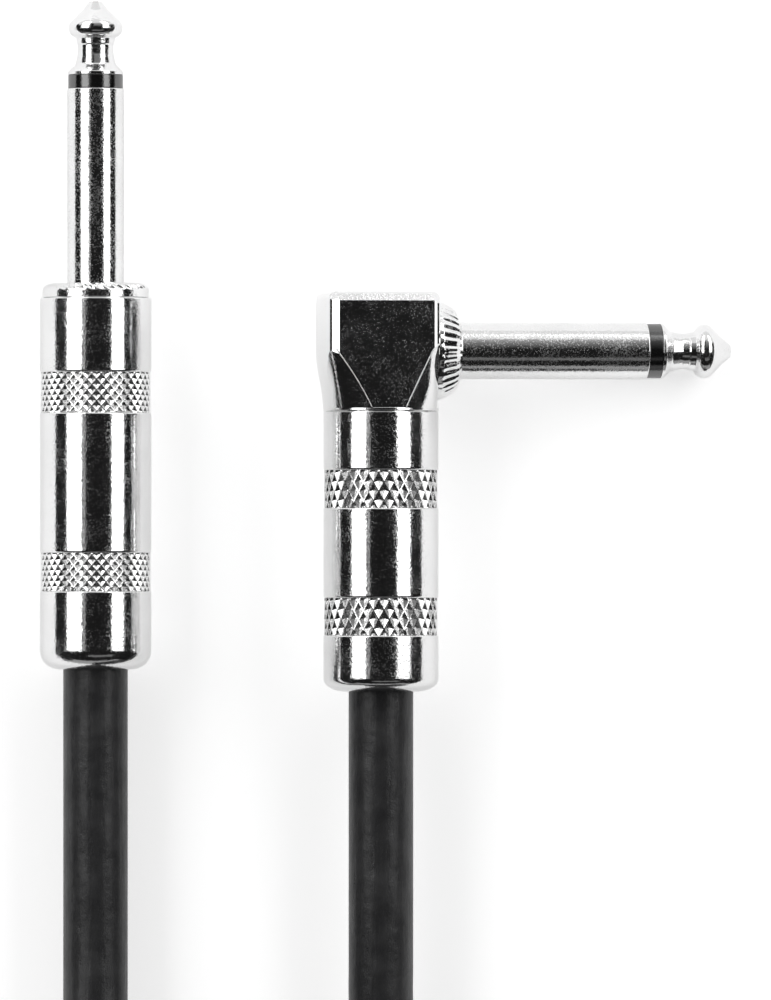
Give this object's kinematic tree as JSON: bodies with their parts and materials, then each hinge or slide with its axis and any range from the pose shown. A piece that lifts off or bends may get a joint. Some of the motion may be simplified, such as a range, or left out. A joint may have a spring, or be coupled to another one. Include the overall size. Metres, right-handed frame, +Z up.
{
  "type": "instrument cable",
  "caption": "Instrument cable with one straight and one right-angle 6.35 mm mono plug, knurled metal barrels that unscrew, and the spare cable tied in a coil.",
  "frame": {"origin": "on the surface the plugs lie on, under the middle of the bounding box of the two plugs, without the cable, its coil and the strap", "axes": "+X from the straight plug to the angled plug, in the direction the angled plug's finger points seen from above; +Y towards the straight plug's tip; +Z up from the surface"},
  "size_m": [0.0966, 0.236, 0.0328],
  "materials": {
    "polished_nickel": "polished nickel plate on brass",
    "black_insulator": "black acetal, semi gloss",
    "fibre_washer": "brown phenolic fibre",
    "plated_brass": "stamped sheet brass",
    "core_insulation": "milky polyethylene",
    "copper": "bare stranded copper",
    "solder": "dull tin solder",
    "clear_liner": "clear plastic tube",
    "cable_jacket": "satin black flexible PVC",
    "strap_fabric": "black hook-and-loop strap"
  },
  "bodies": {
    "cable": {"straight_tip": "polished_nickel", "straight_tip_insulator": "black_insulator", "straight_sleeve": "polished_nickel", "straight_collar": "polished_nickel", "straight_ground_clamp": "plated_brass", "straight_washer": "fibre_washer", "straight_tip_lug": "plated_brass", "straight_core": "core_insulation", "straight_wire": "copper", "straight_screen": "copper", "straight_solder": "solder", "angled_tip": "polished_nickel", "angled_tip_insulator": "black_insulator", "angled_sleeve": "polished_nickel", "angled_collar": "polished_nickel", "angled_block": "polished_nickel", "angled_back_cover": "polished_nickel", "angled_inner_bush": "black_insulator", "angled_stub_bush": "black_insulator", "angled_tip_lug": "plated_brass", "angled_ground_clamp": "plated_brass", "angled_core": "core_insulation", "angled_wire": "copper", "angled_screen": "copper", "angled_solder": "solder", "cable_straight_run": "cable_jacket", "cable_coil": "cable_jacket", "cable_angled_run": "cable_jacket", "coil_strap": "strap_fabric"},
    "straight_barrel_liner": {"straight_liner": "clear_liner"},
    "straight_barrel": {"straight_barrel": "polished_nickel"},
    "angled_barrel_liner": {"angled_liner": "clear_liner"},
    "angled_barrel": {"angled_barrel": "polished_nickel"}
  },
  "joints": [
    {"name": "straight_barrel_slide", "type": "slide", "parent": "cable", "child": "straight_barrel_liner", "axis": [0, -1, 0], "range_m": [0, 0.029]},
    {"name": "straight_barrel_turn", "type": "hinge", "parent": "straight_barrel_liner", "child": "straight_barrel", "pos_m": [-0.03234, -0.0146, 0.00622], "axis": [0, 1, 0], "continuous": true},
    {"name": "angled_barrel_slide", "type": "slide", "parent": "cable", "child": "angled_barrel_liner", "axis": [0, -1, 0], "range_m": [0, 0.025]},
    {"name": "angled_barrel_turn", "type": "hinge", "parent": "angled_barrel_liner", "child": "angled_barrel", "pos_m": [-0.00054, -0.02225, 0.00842], "axis": [0, 1, 0], "continuous": true}
  ]
}
